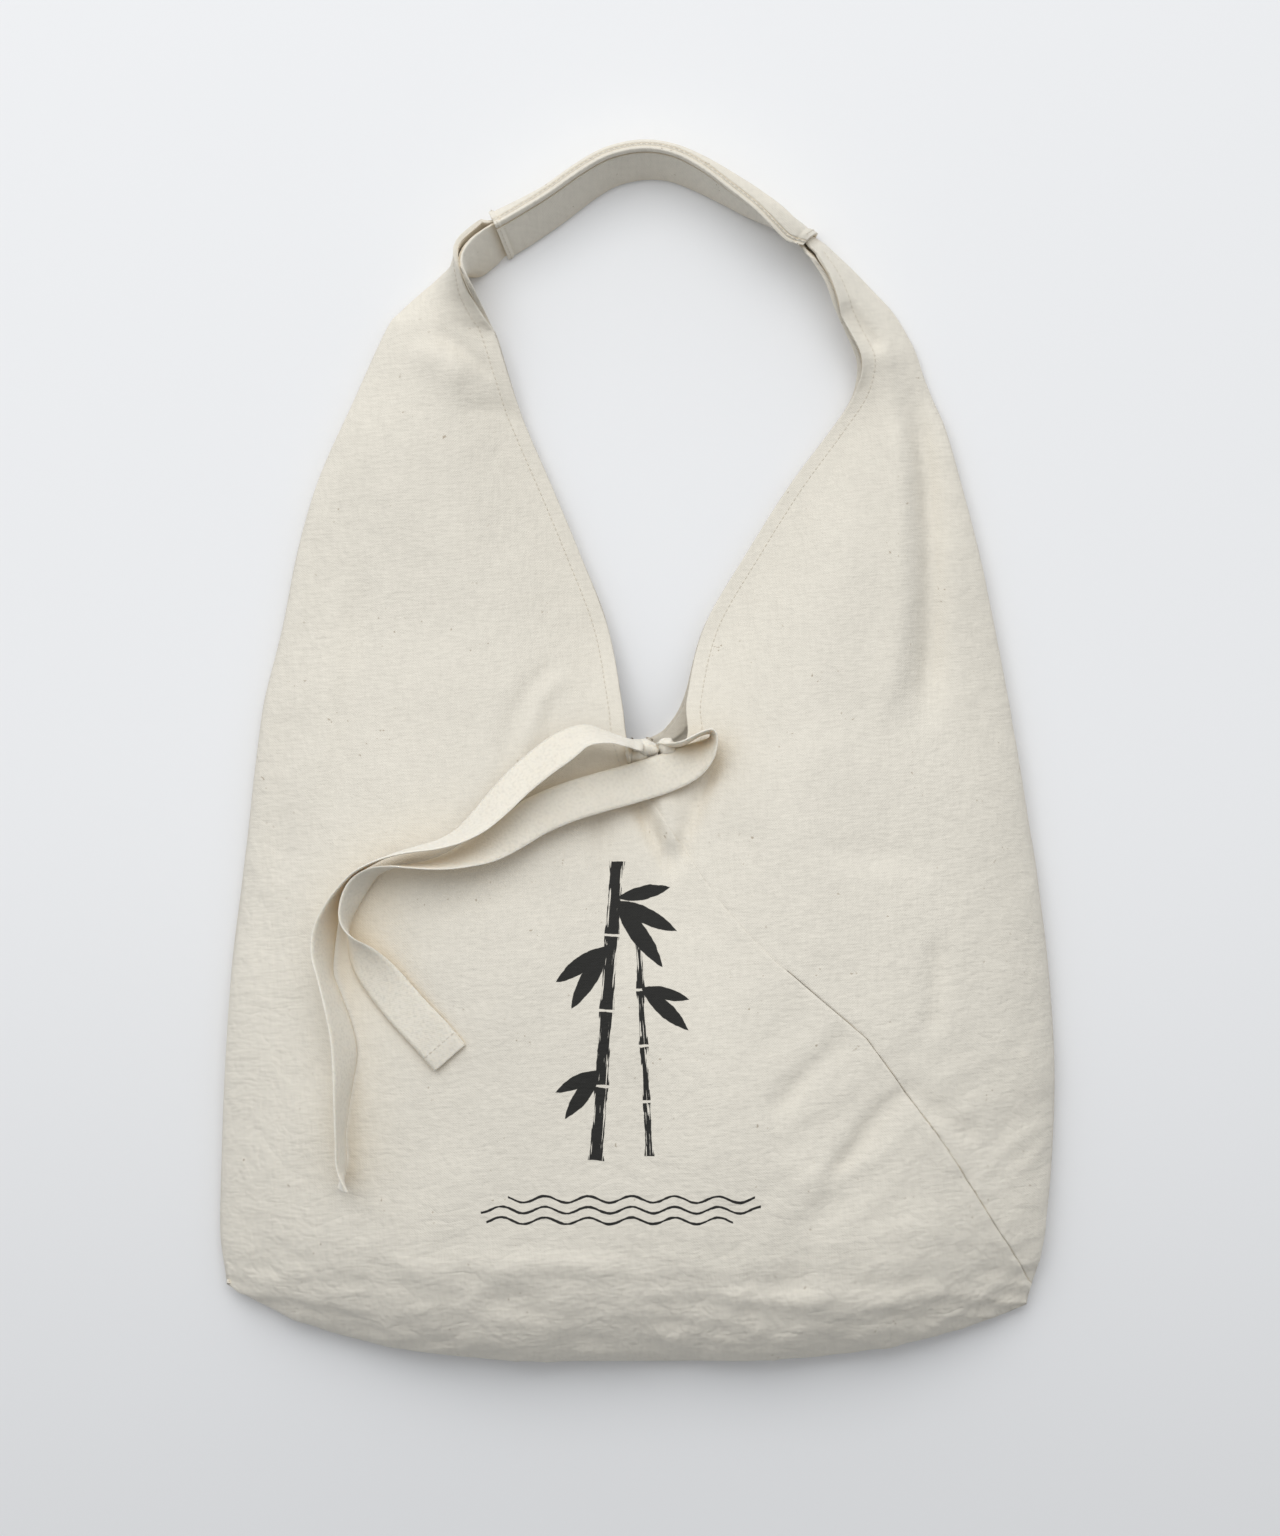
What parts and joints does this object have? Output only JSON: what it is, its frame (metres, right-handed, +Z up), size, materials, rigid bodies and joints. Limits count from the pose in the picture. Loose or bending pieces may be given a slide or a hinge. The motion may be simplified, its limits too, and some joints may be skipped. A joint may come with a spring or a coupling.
{
  "type": "azuma bag",
  "caption": "Soft canvas azuma bag lying on its back, with a slanting front seam, a V neckline, a folded carrying band over its ear tips and tie tapes at the neckline's foot.",
  "frame": {"origin": "on the surface the bag lies on, under the middle of the bag", "axes": "+Y from the bottom fold to the carrying band, +Z up off the surface, +X to the right seen from above with the band away from the viewer"},
  "size_m": [0.418, 0.6078, 0.0672],
  "materials": {
    "canvas": "washed unbleached plain-weave canvas, matte",
    "band": "unbleached canvas, folded and edge-stitched, matte",
    "tape": "unbleached canvas tape, matte"
  },
  "bodies": {
    "root": {"left_panel": "canvas", "right_panel": "canvas", "carrying_band": "band", "lower_tape": "tape", "upper_tape": "tape", "half_knot": "tape"}
  },
  "joints": []
}
